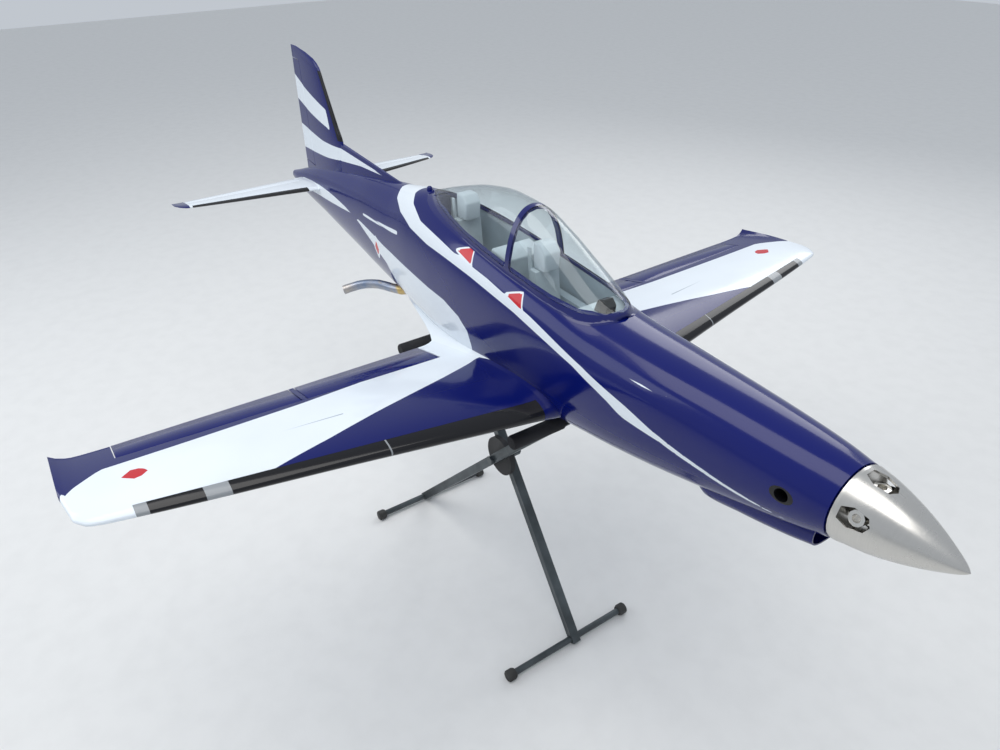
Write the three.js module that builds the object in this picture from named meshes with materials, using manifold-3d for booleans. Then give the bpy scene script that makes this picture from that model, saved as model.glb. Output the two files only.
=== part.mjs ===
// Large-scale RC trainer aeroplane on its folding display stand. Millimetres, +Z up, nose towards +X, port is +Y.
// Stations below are measured from the spinner tip; the whole model is moved to the floor at the end.
import * as THREE from "three";
import { mergeVertices } from "three/addons/utils/BufferGeometryUtils.js";
import Module from "manifold-3d";

const wasm = await Module();
wasm.setup();

// ---- driving dimensions ----
const GAP = 0.3; // clearance between touching pieces
const LENGTH = 2479; // spinner tip to tail end
const AXIS_HEIGHT = 1000; // spinner axis above the floor
const SHELL = 3; // fuselage skin thickness
const GLASS = 1.6; // canopy thickness

// Fuselage stations: x, top, bottom, half width, height of the widest point, squareness of the section
const FUSELAGE = [
  [-182, 66, -68, 66, -1, 2],
  [-230, 71, -84, 73, -2, 2.1],
  [-300, 75, -102, 80, -6, 2.2],
  [-425, 79, -134, 89, -12, 2.3],
  [-560, 81, -165, 98, -20, 2.4],
  [-702, 84, -190, 105, -30, 2.5],
  [-840, 98, -208, 109, -30, 2.7],
  [-1000, 112, -220, 111, -30, 2.8],
  [-1150, 124, -226, 110, -32, 2.8],
  [-1300, 134, -224, 105, -36, 2.6],
  [-1436, 137, -216, 96, -42, 2.4],
  [-1596, 114, -207, 80, -46, 2.2],
  [-1750, 92, -192, 66, -50, 2.2],
  [-1900, 68, -176, 54, -54, 2.1],
  [-2050, 42, -158, 43, -58, 2.1],
  [-2200, 12, -140, 33, -64, 2],
  [-2331, -22, -126, 24, -74, 2],
  [-2420, -50, -112, 17, -81, 2],
  [-LENGTH, -68, -97, 9, -83, 2],
];

// Canopy stations: x, top, half width
const CANOPY = [
  [-704, 90, 22],
  [-714, 97, 40],
  [-735, 110, 61],
  [-780, 132, 74],
  [-850, 168, 79],
  [-920, 203, 80],
  [-999, 230, 80],
  [-1090, 234, 78],
  [-1184, 221, 74],
  [-1280, 195, 65],
  [-1347, 173, 55],
  [-1400, 154, 40],
  [-1434, 143, 18],
];
const CANOPY_BASE = 30;
const CANOPY_SQUARE = 2.3;
const ARCH_X = -999;
const ARCH_WIDTH = 14;

// Wing sections: span station, leading edge x and z, trailing edge x and z, thickness ratio
const WING = [
  [42, -776, -150, -1560, -192, 0.12],
  [62, -779, -149, -1476, -195, 0.14],
  [80, -783, -149, -1395, -199, 0.165],
  [96, -786, -148, -1334, -201, 0.175],
  [114, -790, -148, -1293, -201, 0.165],
  [150, -796, -147, -1278, -198, 0.15],
  [500, -863, -136, -1260, -182, 0.135],
  [930, -945, -123, -1241, -162, 0.12],
  [975, -956, -121, -1240, -158, 0.105],
  [1000, -985, -122, -1244, -151, 0.08],
  [1012, -1070, -128, -1248, -144, 0.05],
];
const WING_HINGE = 0.76;
const FLAP_SPAN = [165, 500];
const AILERON_SPAN = [516, 900];
const BOOT_SPAN = [122, 905];
const BOOT_CHORD = 0.07;
const JOINER = { x: -1000, z: -171, radius: 14, reach: 260 };

// Tailplane sections, laid out like the wing's
const TAIL = [
  [14, -2150, -45, -2358, -60, 0.11],
  [60, -2160, -45, -2356, -60, 0.1],
  [400, -2232, -47, -2334, -58, 0.1],
  [445, -2246, -48, -2334, -57, 0.09],
  [466, -2272, -50, -2336, -57, 0.07],
  [474, -2300, -53, -2338, -57, 0.05],
];
const TAIL_HINGE = 0.66;
const ELEVATOR_SPAN = [52, 436];
const TAIL_BOOT_SPAN = [70, 430];
const TAIL_BOOT_CHORD = 0.1;

// Fin sections: height, leading edge x, trailing edge x, thickness ratio
const FIN = [
  [-40, -2010, -2331, 0.09],
  [132, -1997, -2330, 0.08],
  [180, -2023, -2329, 0.078],
  [300, -2089, -2327, 0.07],
  [338, -2111, -2326, 0.07],
  [358, -2148, -2326, 0.065],
  [372, -2215, -2325, 0.06],
  [380, -2285, -2325, 0.06],
];
const RUDDER_SPAN = [10, 340];
const RUDDER_HINGE = [-2240, -2266];
const FIN_BOOT_SPAN = [140, 330];
const FIN_BOOT_CHORD = 0.055;

// Dorsal ridge in front of the fin: x, ridge height, ridge half width, base half width
const DORSAL = [
  [-1600, 111, 2, 5],
  [-1700, 116, 3, 8],
  [-1850, 124, 4, 11],
  [-2004, 132, 5, 13],
];

// Spinner profile: distance behind the tip, radius
const SPINNER = [
  [0, 0],
  [6, 6],
  [30, 20],
  [70, 38.5],
  [110, 52.5],
  [145, 61.5],
  [174, 66],
];
const BLADES = 5;
const BLADE_SLOT = { from: 122, to: 168, halfWidth: 17 };

// Chin scoop: x, centre height, half width, half height
const CHIN = [
  [-204, -74, 43, 27],
  [-250, -84, 46, 30],
  [-340, -100, 49, 34],
  [-420, -112, 49, 38],
  [-438, -108, 46, 34],
];

// Exhaust pipe centre line on the starboard side
const PIPE = [
  [-1535, -26, -160],
  [-1580, -36, -190],
  [-1630, -50, -199],
  [-1680, -74, -199],
  [-1725, -108, -208],
  [-1750, -156, -222],
];
const PIPE_RADIUS = 13.5;
const PIPE_WALL = 1.2;

// Stand
const TUBE = 25;
const LEG_WALL = 2;
const LEG_OFFSET = 20; // each leg's centre plane from the middle
const HUB = [-1145, -535];
const NEAR_FOOT = [-826, -985];
const FAR_FOOT = [-1587, -985];
const FOOT_HALF = 200;
const FOOT_BAR_RADIUS = 9;
const CAP_RADIUS = 15;
const CAP_LENGTH = 26;
const CLUTCH_RADIUS = 57;
const BOLT_RADIUS = 6;
const TOP_BAR_RADIUS = 9;
const TOP_BAR_HALF = 176;
const FOAM_RADIUS = 17;

// ---- solids ----
function solidOf(geometry) {
  const plain = geometry.index ? geometry.toNonIndexed() : geometry.clone();
  plain.deleteAttribute("normal");
  plain.deleteAttribute("uv");
  const merged = mergeVertices(plain, 1e-4);
  const vertProperties = new Float32Array(merged.attributes.position.array);
  const triVerts = new Uint32Array(merged.index.array);
  return new wasm.Manifold(new wasm.Mesh({ numProp: 3, vertProperties, triVerts }));
}

function geometryOf(solid) {
  const mesh = solid.getMesh();
  const geometry = new THREE.BufferGeometry();
  geometry.setAttribute("position", new THREE.BufferAttribute(new Float32Array(mesh.vertProperties), 3));
  geometry.setIndex(new THREE.BufferAttribute(new Uint32Array(mesh.triVerts), 1));
  const flat = geometry.toNonIndexed();
  flat.computeVertexNormals();
  return flat;
}

// A closed skin through rings of points; every ring has the same number of points.
function loft(rings) {
  const count = rings[0].length;
  const points = rings.flat();
  const faces = [];
  for (let r = 0; r + 1 < rings.length; r += 1) {
    for (let i = 0; i < count; i += 1) {
      const a = r * count + i;
      const b = r * count + ((i + 1) % count);
      faces.push([a, b, b + count], [a, b + count, a + count]);
    }
  }
  closeEnd(points, faces, 0, count, true);
  closeEnd(points, faces, (rings.length - 1) * count, count, false);
  return solidOf(surface(points, faces));
}

function closeEnd(points, faces, start, count, first) {
  const middle = new THREE.Vector3();
  for (let i = 0; i < count; i += 1) {
    middle.addScaledVector(points[start + i], 1 / count);
  }
  const hub = points.length;
  points.push(middle);
  for (let i = 0; i < count; i += 1) {
    const a = start + i;
    const b = start + ((i + 1) % count);
    faces.push(first ? [hub, b, a] : [hub, a, b]);
  }
}

function surface(points, faces) {
  let volume = 0;
  for (const [a, b, c] of faces) {
    volume += points[a].dot(new THREE.Vector3().crossVectors(points[b], points[c]));
  }
  const corners = [];
  for (const [a, b, c] of faces) {
    const order = volume > 0 ? [a, b, c] : [a, c, b];
    for (const index of order) {
      corners.push(points[index].x, points[index].y, points[index].z);
    }
  }
  const geometry = new THREE.BufferGeometry();
  geometry.setAttribute("position", new THREE.Float32BufferAttribute(corners, 3));
  return geometry;
}

function box(x0, x1, y0, y1, z0, z1) {
  const geometry = new THREE.BoxGeometry(Math.abs(x1 - x0), Math.abs(y1 - y0), Math.abs(z1 - z0));
  geometry.translate((x0 + x1) / 2, (y0 + y1) / 2, (z0 + z1) / 2);
  return solidOf(geometry);
}

// A round bar between two points; the second radius makes it a cone.
function rod(from, to, radius, sides = 16, endRadius = radius) {
  const a = new THREE.Vector3(...from);
  const b = new THREE.Vector3(...to);
  const along = b.clone().sub(a);
  const geometry = new THREE.CylinderGeometry(endRadius, radius, along.length(), sides);
  const upright = new THREE.Vector3(0, 1, 0);
  const turn = new THREE.Quaternion().setFromUnitVectors(upright, along.clone().normalize());
  geometry.applyQuaternion(turn);
  geometry.translate(...a.add(b).multiplyScalar(0.5).toArray());
  return solidOf(geometry);
}

// A profile of [distance behind the tip, radius] turned about the spinner axis.
function turned(profile, sides = 24) {
  const outline = profile.map(([back, radius]) => new THREE.Vector2(radius, back));
  const geometry = new THREE.LatheGeometry(outline, sides);
  geometry.rotateZ(Math.PI / 2);
  return outward(geometry);
}

// The solid inside a closed skin, whichever way round its triangles run.
function outward(geometry) {
  const solid = solidOf(geometry);
  return solid.volume() > 0 ? solid : solidOf(flipped(geometry));
}

function flipped(geometry) {
  const copy = geometry.toNonIndexed();
  const position = copy.attributes.position;
  for (let i = 0; i < position.count; i += 3) {
    const hold = [position.getX(i), position.getY(i), position.getZ(i)];
    position.setXYZ(i, position.getX(i + 1), position.getY(i + 1), position.getZ(i + 1));
    position.setXYZ(i + 1, ...hold);
  }
  return copy;
}

function interpolate(table, x) {
  const rows = table[0][0] > table[table.length - 1][0] ? table : [...table].reverse();
  if (x >= rows[0][0]) return rows[0];
  for (let i = 0; i + 1 < rows.length; i += 1) {
    const [a, b] = [rows[i], rows[i + 1]];
    if (x <= a[0] && x >= b[0]) {
      const t = (x - a[0]) / (b[0] - a[0]);
      return a.map((value, k) => value + t * (b[k] - value));
    }
  }
  return rows[rows.length - 1];
}

// ---- fuselage ----
function fuselageRing([x, top, bottom, half, widest, square], grow, sides) {
  const ring = [];
  for (let i = 0; i < sides; i += 1) {
    const angle = (2 * Math.PI * i) / sides;
    const c = Math.cos(angle);
    const s = Math.sin(angle);
    const across = Math.sign(c) * Math.abs(c) ** (2 / square) * (half + grow);
    const rise = s >= 0 ? top - widest + grow : widest - bottom + grow;
    const up = widest + Math.sign(s) * Math.abs(s) ** (2 / square) * rise;
    ring.push(new THREE.Vector3(x, across, up));
  }
  return ring;
}

function fuselageSolid(grow, sides = 24) {
  return loft(FUSELAGE.map((station) => fuselageRing(station, grow, sides)));
}

const fuselageOuter = fuselageSolid(0);
const fuselageClear = fuselageSolid(GAP);

function fuselageCavity() {
  const stations = FUSELAGE.filter(([x]) => x > -2300).map((row) => [...row]);
  stations[0][0] += 5;
  return loft(stations.map((station) => fuselageRing(station, -SHELL, 24)));
}

// Canopy-shaped body, shrunk by an inset, standing on a flat base below the fuselage skin.
function canopySolid(inset) {
  const rings = [];
  const [first, last] = [CANOPY[0][0] - inset * 1.2, CANOPY[CANOPY.length - 1][0] + inset * 1.2];
  const stations = [first, ...CANOPY.slice(1, -1).map((row) => row[0]), last];
  for (const x of stations.filter((value) => value <= first && value >= last)) {
    const [, crown, half] = interpolate(CANOPY, x);
    const width = Math.max(half - inset, 3);
    rings.push(canopyRing(x, width, crown - inset - CANOPY_BASE));
  }
  return loft(rings);
}

function canopyRing(x, width, height) {
  const ring = [];
  const steps = 14;
  for (let i = 0; i <= steps; i += 1) {
    const angle = (Math.PI * i) / steps;
    const c = Math.cos(angle);
    const across = Math.sign(c) * Math.abs(c) ** (2 / CANOPY_SQUARE) * width;
    const up = CANOPY_BASE + Math.abs(Math.sin(angle)) ** (2 / CANOPY_SQUARE) * height;
    ring.push(new THREE.Vector3(x, across, up));
  }
  return ring;
}

// Upright well with the canopy's plan outline.
function cockpitWell(inset, bottom, top) {
  const left = [];
  const right = [];
  const inside = (x) => x < CANOPY[0][0] - inset && x > CANOPY[CANOPY.length - 1][0] + inset;
  for (const [x, , half] of CANOPY) {
    if (inside(x) && half > inset + 4) {
      left.push(new THREE.Vector2(x, half - inset));
      right.unshift(new THREE.Vector2(x, inset - half));
    }
  }
  const geometry = new THREE.ExtrudeGeometry(new THREE.Shape([...left, ...right]), {
    depth: top - bottom,
    bevelEnabled: false,
  });
  geometry.translate(0, 0, bottom);
  return solidOf(geometry);
}

function exhaustHole(side) {
  return rod([-254, side * 50, -4], [-254, side * 110, -4], 12, 24);
}

function fuselageShell() {
  let shell = fuselageOuter.subtract(fuselageCavity());
  shell = shell.subtract(cockpitWell(10, -60, 260));
  for (const side of [-1, 1]) {
    shell = shell.subtract(exhaustHole(side));
    shell = shell.subtract(pipeSolid(side, PIPE_RADIUS + GAP + 0.1));
  }
  const { x, z, radius } = JOINER;
  return shell.subtract(rod([x, -130, z], [x, 130, z], radius + GAP));
}

function chinRing([x, centre, half, high], grow) {
  const ring = [];
  for (let i = 0; i < 24; i += 1) {
    const angle = (2 * Math.PI * i) / 24;
    const c = Math.cos(angle);
    const s = Math.sin(angle);
    const across = Math.sign(c) * Math.abs(c) ** 0.8 * (half + grow);
    const up = centre + Math.sign(s) * Math.abs(s) ** 0.8 * (high + grow);
    ring.push(new THREE.Vector3(x, across, up));
  }
  return ring;
}

function chinIntake() {
  const body = loft(CHIN.map((row) => chinRing(row, 0))).subtract(fuselageClear);
  const throat = [CHIN[0], CHIN[1], CHIN[2]].map((row) => [...row]);
  throat[0][0] += 6;
  return body.subtract(loft(throat.map((row) => chinRing(row, -3))));
}

// ---- canopy and cockpit ----
function canopyGlass() {
  return canopySolid(0).subtract(canopySolid(GLASS)).subtract(fuselageClear);
}

function canopyFrame() {
  const outside = canopySolid(GLASS + GAP);
  const liner = outside.subtract(canopySolid(9));
  const rail = liner.intersect(fuselageSolid(7)).subtract(fuselageClear);
  const slice = box(ARCH_X - ARCH_WIDTH / 2, ARCH_X + ARCH_WIDTH / 2, -120, 120, 20, 300);
  const arch = outside.subtract(canopySolid(6)).intersect(slice).subtract(fuselageClear);
  return rail.add(arch);
}

function cockpitTub() {
  const block = cockpitWell(10.4, -96, 200).intersect(fuselageSolid(-0.5));
  return block.subtract(cockpitWell(13, -93, 260));
}

// Side view outline of [x, z] points pushed across the cockpit.
function sideProfile(outline, width, centre = 0) {
  const shape = new THREE.Shape(outline.map(([x, z]) => new THREE.Vector2(x, z)));
  const geometry = new THREE.ExtrudeGeometry(shape, { depth: width, bevelEnabled: false });
  geometry.rotateX(Math.PI / 2);
  geometry.translate(0, centre + width / 2, 0);
  return solidOf(geometry);
}

const FLOOR = -93;
const SEATS = { front: [-950, 130], rear: [-1262, 150] };

function seat([x, head]) {
  const z = head - 32;
  const outline = [
    [x + 96, FLOOR + GAP],
    [x + 100, FLOOR + 42],
    [x + 18, FLOOR + 34],
    [x - 2, z],
    [x - 26, z],
    [x - 8, FLOOR + GAP],
  ];
  const rails = [-1, 1].map((side) => {
    const rail = [
      [x - 31, head + 14],
      [x - 41, head + 14],
      [x - 22, FLOOR + 20],
      [x - 8, FLOOR + 20],
    ];
    return sideProfile(rail, 5, side * 24);
  });
  return sideProfile(outline, 62).add(rails[0]).add(rails[1]);
}

function headbox([x, head]) {
  const z = head - 32 + GAP;
  const outline = [
    [x + 14, z],
    [x + 18, head + 12],
    [x + 2, head + 30],
    [x - 27, head + 30],
    [x - 25, z],
  ];
  return sideProfile(outline, 42);
}

function frontCoaming() {
  const block = cockpitWell(13.4, 20, 75).intersect(fuselageSolid(-1));
  return block.intersect(box(-700, -806, -90, 90, 20, 90));
}

function rearCoaming() {
  const outline = [
    [-1026, FLOOR + GAP],
    [-1026, 104],
    [-1090, 112],
    [-1094, 96],
    [-1062, FLOOR + GAP],
  ];
  return sideProfile(outline, 108);
}

function sightUnit() {
  const outline = [
    [-744, 75 + GAP],
    [-742, 94],
    [-755, 108],
    [-772, 102],
    [-782, 75 + GAP],
  ];
  return sideProfile(outline, 26);
}

function console(side) {
  const outline = [
    [-826, FLOOR + GAP],
    [-826, 20],
    [-1018, 26],
    [-1018, FLOOR + GAP],
  ];
  return sideProfile(outline, 20, side * 50);
}

function antennaDome() {
  const profile = [
    [0, 0],
    [1, 4.5],
    [4, 7.2],
    [10, 8],
    [30, 8],
    [30, 0],
  ];
  const geometry = new THREE.LatheGeometry(
    profile.map(([down, radius]) => new THREE.Vector2(radius, -down)).reverse(),
    16,
  );
  geometry.rotateX(Math.PI / 2);
  geometry.translate(-1458, 0, 146);
  return outward(geometry).subtract(fuselageClear);
}

// ---- nose ----
function spinnerCone() {
  const outer = turned([...SPINNER, [174, 0]]);
  const inner = SPINNER.slice(1).map(([back, radius]) => [back + 6, radius - 3]);
  let cone = outer.subtract(turned([[14, 0], ...inner, [184, 0]]));
  for (let i = 0; i < BLADES; i += 1) {
    cone = cone.subtract(aroundAxis(bladeSlot(), i));
  }
  return cone;
}

function bladeSlot() {
  const { from, to, halfWidth } = BLADE_SLOT;
  const shape = new THREE.Shape();
  shape.moveTo(-to, -halfWidth * 0.6);
  shape.lineTo(-to, halfWidth * 0.6);
  shape.lineTo(-(from + to) / 2 - 6, halfWidth);
  shape.lineTo(-from - 6, halfWidth * 0.7);
  shape.lineTo(-from, 0);
  shape.lineTo(-from - 6, -halfWidth * 0.7);
  shape.lineTo(-(from + to) / 2 - 6, -halfWidth);
  const geometry = new THREE.ExtrudeGeometry(shape, { depth: 60, bevelEnabled: false });
  geometry.translate(0, 0, 32);
  return geometry;
}

function aroundAxis(geometry, index) {
  const copy = geometry.clone();
  copy.rotateX((2 * Math.PI * index) / BLADES);
  return solidOf(copy);
}

function spinnerBackplate() {
  return turned([
    [174 + GAP, 0],
    [174 + GAP, 65],
    [179, 65],
    [179, 0],
  ]).subtract(rod([-170, 0, 0], [-184, 0, 0], 9 + GAP));
}

function propellerHub() {
  let hub = rod([-118, 0, 0], [-172, 0, 0], 24, 24);
  for (let i = 0; i < BLADES; i += 1) {
    const socket = new THREE.CylinderGeometry(13, 13, 34, 10);
    socket.rotateX(Math.PI / 2);
    socket.translate(-146, 0, 34);
    const bore = new THREE.CylinderGeometry(7, 7, 20, 24);
    bore.rotateX(Math.PI / 2);
    bore.translate(-146, 0, 46);
    hub = hub.add(aroundAxis(socket, i)).subtract(aroundAxis(bore, i));
  }
  return hub.subtract(rod([-110, 0, 0], [-180, 0, 0], 9 + GAP));
}

function driveShaft() {
  return rod([-108, 0, 0], [-358, 0, 0], 9, 20);
}

function firewall() {
  const plate = fuselageSolid(-SHELL - GAP).intersect(box(-330, -336, -120, 120, -150, 120));
  return plate.subtract(rod([-320, 0, 0], [-345, 0, 0], 9 + 2));
}

function turbineEngine() {
  const body = turned([
    [360, 0],
    [360, 30],
    [380, 44],
    [520, 44],
    [560, 30],
    [560, 0],
  ]);
  const mount = box(-342, -372, -40, 40, -26, 26);
  return body.add(mount).subtract(rod([-330, 0, 0], [-359, 0, 0], 9 + GAP));
}

function fuelTank() {
  const shape = box(-600, -690, -50, 50, -120, -40);
  return shape.add(rod([-590, 0, -80], [-700, 0, -80], 12, 16));
}

// ---- exhaust pipes ----
function pipeSolid(side, radius) {
  const curve = new THREE.CatmullRomCurve3(PIPE.map(([x, y, z]) => new THREE.Vector3(x, -y * side, z)));
  const section = new THREE.Shape();
  section.absarc(0, 0, radius, 0, 2 * Math.PI);
  return outward(new THREE.ExtrudeGeometry(section, { steps: 12, curveSegments: 8, extrudePath: curve }));
}

function circleRing(centre, across, up, radius, sides) {
  const ring = [];
  for (let i = 0; i < sides; i += 1) {
    const angle = (2 * Math.PI * i) / sides;
    const point = centre.clone();
    point.addScaledVector(across, Math.cos(angle) * radius);
    point.addScaledVector(up, Math.sin(angle) * radius);
    ring.push(point);
  }
  return ring;
}

function exhaustPipe(side) {
  return pipeSolid(side, PIPE_RADIUS).subtract(pipeSolid(side, PIPE_RADIUS - PIPE_WALL));
}

// ---- lifting surfaces ----
function halfThickness(f) {
  const root = 0.2969 * Math.sqrt(f) - 0.126 * f;
  return 5 * (root - 0.3516 * f ** 2 + 0.2843 * f ** 3 - 0.1036 * f ** 4);
}

const CHORD_STEPS = [1, 0.88, 0.76, 0.6, 0.44, 0.28, 0.16, 0.07, 0.02, 0];

// Aerofoil outline as [chord fraction, side offset] pairs, trailing edge blunt
function aerofoil(chord, ratio) {
  const offset = (f) => Math.max(halfThickness(f) * ratio * chord, 0.7);
  const over = CHORD_STEPS.map((f) => [f, f === 0 ? 0 : offset(f)]);
  const under = CHORD_STEPS.slice(0, -1).reverse().map((f) => [f, -offset(f)]);
  return [...over, ...under];
}

function panelRing([y, leX, leZ, teX, teZ, ratio], side) {
  return aerofoil(leX - teX, ratio).map(([f, offset]) => {
    const x = THREE.MathUtils.lerp(leX, teX, f);
    const z = THREE.MathUtils.lerp(leZ, teZ, f);
    return new THREE.Vector3(x, side * y, z + offset);
  });
}

function panelSolid(table, side) {
  return loft(table.map((row) => panelRing(row, side)));
}

function rowAt(table, y) {
  return interpolate(table.map(([at, ...rest]) => [-at, ...rest]), -y);
}

// Hinge axis point and radius of a panel at one span station
function hingeAt(table, y, hinge) {
  const [, leX, leZ, teX, teZ, ratio] = rowAt(table, y);
  const x = THREE.MathUtils.lerp(leX, teX, hinge);
  const z = THREE.MathUtils.lerp(leZ, teZ, hinge);
  const radius = halfThickness(hinge) * ratio * (leX - teX) - 0.4;
  return { x, z, radius, teX, teZ };
}

function noseArc(x, z, radius) {
  const arc = [];
  for (let i = 0; i <= 8; i += 1) {
    const angle = Math.PI / 2 - (Math.PI * i) / 8;
    arc.push([x + radius * Math.cos(angle), z + radius * Math.sin(angle)]);
  }
  return arc;
}

function surfaceSolid(table, [from, to], hinge, side) {
  const rings = [from, to].map((y) => {
    const { x, z, radius, teX, teZ } = hingeAt(table, y, hinge);
    const outline = [...noseArc(x, z, radius), [teX, teZ - 0.6], [teX, teZ + 0.6]];
    return outline.map(([px, pz]) => new THREE.Vector3(px, side * y, pz));
  });
  return loft(rings);
}

function coveSolid(table, [from, to], hinge, side) {
  const rings = [from - 2, to + 2].map((y) => {
    const { x, z, radius, teX, teZ } = hingeAt(table, y, hinge);
    const outline = [...noseArc(x, z, radius + 1.4), [teX - 30, teZ - 60], [teX - 30, teZ + 60]];
    return outline.map(([px, pz]) => new THREE.Vector3(px, side * y, pz));
  });
  return loft(rings);
}

function bootZone(table, [from, to], fraction, side, gap) {
  const rings = [from - gap, to + gap].map((y) => {
    const [, leX, leZ, teX] = rowAt(table, y);
    const back = THREE.MathUtils.lerp(leX, teX, fraction) - gap;
    const outline = [
      [back, leZ - 60],
      [leX + 30, leZ - 60],
      [leX + 30, leZ + 60],
      [back, leZ + 60],
    ];
    return outline.map(([px, pz]) => new THREE.Vector3(px, side * y, pz));
  });
  return loft(rings);
}

function wing(side) {
  const { x, z, radius, reach } = JOINER;
  return panelSolid(WING, side)
    .subtract(fuselageClear)
    .subtract(coveSolid(WING, FLAP_SPAN, WING_HINGE, side))
    .subtract(coveSolid(WING, AILERON_SPAN, WING_HINGE, side))
    .subtract(bootZone(WING, BOOT_SPAN, BOOT_CHORD, side, GAP))
    .subtract(rod([x, side * 60, z], [x, side * (reach + GAP), z], radius + GAP));
}

function wingBoot(side) {
  return panelSolid(WING, side).intersect(bootZone(WING, BOOT_SPAN, BOOT_CHORD, side, 0));
}

function wingJoiner() {
  const { x, z, radius, reach } = JOINER;
  const tube = rod([x, -reach, z], [x, reach, z], radius);
  return tube.subtract(rod([x, -reach - 5, z], [x, reach + 5, z], radius - 2.5));
}

function tailplane(side) {
  return panelSolid(TAIL, side)
    .subtract(fuselageClear)
    .subtract(coveSolid(TAIL, ELEVATOR_SPAN, TAIL_HINGE, side))
    .subtract(bootZone(TAIL, TAIL_BOOT_SPAN, TAIL_BOOT_CHORD, side, GAP));
}

function tailBoot(side) {
  return panelSolid(TAIL, side).intersect(bootZone(TAIL, TAIL_BOOT_SPAN, TAIL_BOOT_CHORD, side, 0));
}

// ---- fin and rudder ----
function finRing([z, leX, teX, ratio]) {
  return aerofoil(leX - teX, ratio).map(([f, offset]) => {
    return new THREE.Vector3(THREE.MathUtils.lerp(leX, teX, f), offset, z);
  });
}

function finBlade() {
  return loft(FIN.map(finRing));
}

function dorsalBlade() {
  const rings = DORSAL.map(([x, ridge, narrow, wide]) => {
    const base = interpolate(FUSELAGE, x)[1] - 12;
    return [
      new THREE.Vector3(x, narrow, ridge),
      new THREE.Vector3(x, -narrow, ridge),
      new THREE.Vector3(x, -wide, base),
      new THREE.Vector3(x, wide, base),
    ];
  });
  return loft(rings);
}

function finSection(z) {
  const row = interpolate(FIN.map(([at, ...rest]) => [-at, ...rest]), -z);
  const t = (z - RUDDER_SPAN[0]) / (RUDDER_SPAN[1] - RUDDER_SPAN[0]);
  const x = THREE.MathUtils.lerp(RUDDER_HINGE[0], RUDDER_HINGE[1], t);
  const chord = row[1] - row[2];
  const radius = halfThickness((row[1] - x) / chord) * row[3] * chord - 0.4;
  return { x, radius, teX: row[2], leX: row[1] };
}

function rudder() {
  const rings = RUDDER_SPAN.map((z) => {
    const { x, radius, teX } = finSection(z);
    const outline = [...noseArc(x, 0, radius), [teX, -0.6], [teX, 0.6]];
    return outline.map(([px, py]) => new THREE.Vector3(px, py, z));
  });
  return loft(rings);
}

function rudderCove() {
  const rings = [RUDDER_SPAN[0] - 2, RUDDER_SPAN[1] + 2].map((z) => {
    const { x, radius, teX } = finSection(z);
    const outline = [...noseArc(x, 0, radius + 1.4), [teX - 30, -60], [teX - 30, 60]];
    return outline.map(([px, py]) => new THREE.Vector3(px, py, z));
  });
  return loft(rings);
}

function finBootZone(gap) {
  const rings = [FIN_BOOT_SPAN[0] - gap, FIN_BOOT_SPAN[1] + gap].map((z) => {
    const { leX, teX } = finSection(z);
    const back = THREE.MathUtils.lerp(leX, teX, FIN_BOOT_CHORD) - gap;
    const outline = [
      [back, -30],
      [leX + 30, -30],
      [leX + 30, 30],
      [back, 30],
    ];
    return outline.map(([px, py]) => new THREE.Vector3(px, py, z));
  });
  return loft(rings);
}

function fin() {
  const whole = finBlade().add(dorsalBlade()).subtract(fuselageClear);
  return whole.subtract(rudderCove()).subtract(finBootZone(GAP));
}

function finBoot() {
  return finBlade().intersect(finBootZone(0));
}

// ---- stand ----
// The top bars sit against the belly, on the straight line from each foot through the hub.
function topBarAt(foot) {
  const slope = (HUB[1] - foot[1]) / (HUB[0] - foot[0]);
  let x = HUB[0];
  let z = HUB[1];
  for (let i = 0; i < 40; i += 1) {
    z = interpolate(FUSELAGE, x)[2] - FOAM_RADIUS - GAP;
    x = HUB[0] + (z - HUB[1]) / slope;
  }
  return [x, z];
}

const FRONT_BAR = topBarAt(FAR_FOOT);
const REAR_BAR = topBarAt(NEAR_FOOT);

function squareTube(from, to, y, size) {
  const a = new THREE.Vector2(...from);
  const b = new THREE.Vector2(...to);
  const along = b.clone().sub(a);
  const geometry = new THREE.BoxGeometry(along.length(), size, size);
  geometry.rotateY(-along.angle());
  geometry.translate((a.x + b.x) / 2, y, (a.y + b.y) / 2);
  return solidOf(geometry);
}

function leg(foot, bar, y) {
  const boltHole = rod([HUB[0], y - 20, HUB[1]], [HUB[0], y + 20, HUB[1]], BOLT_RADIUS + GAP);
  const footHole = rod([foot[0], y - 20, foot[1]], [foot[0], y + 20, foot[1]], FOOT_BAR_RADIUS + GAP);
  const barHole = rod([bar[0], y - 20, bar[1]], [bar[0], y + 20, bar[1]], TOP_BAR_RADIUS + GAP);
  const along = new THREE.Vector2(bar[0] - foot[0], bar[1] - foot[1]).normalize();
  const low = [foot[0] - along.x * 13, foot[1] - along.y * 13];
  const high = [bar[0] + along.x * 13, bar[1] + along.y * 13];
  const past = (point, sign) => [point[0] + sign * along.x * 5, point[1] + sign * along.y * 5];
  const underFloor = box(foot[0] - 60, foot[0] + 60, -60, 60, -AXIS_HEIGHT - 30, -AXIS_HEIGHT + 1.5);
  return squareTube(low, high, y, TUBE)
    .subtract(squareTube(past(low, -1), past(high, 1), y, TUBE - 2 * LEG_WALL))
    .subtract(boltHole)
    .subtract(footHole)
    .subtract(barHole)
    .subtract(underFloor);
}

function footBar([x, z]) {
  return rod([x, -FOOT_HALF + 2, z], [x, FOOT_HALF - 2, z], FOOT_BAR_RADIUS);
}

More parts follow.
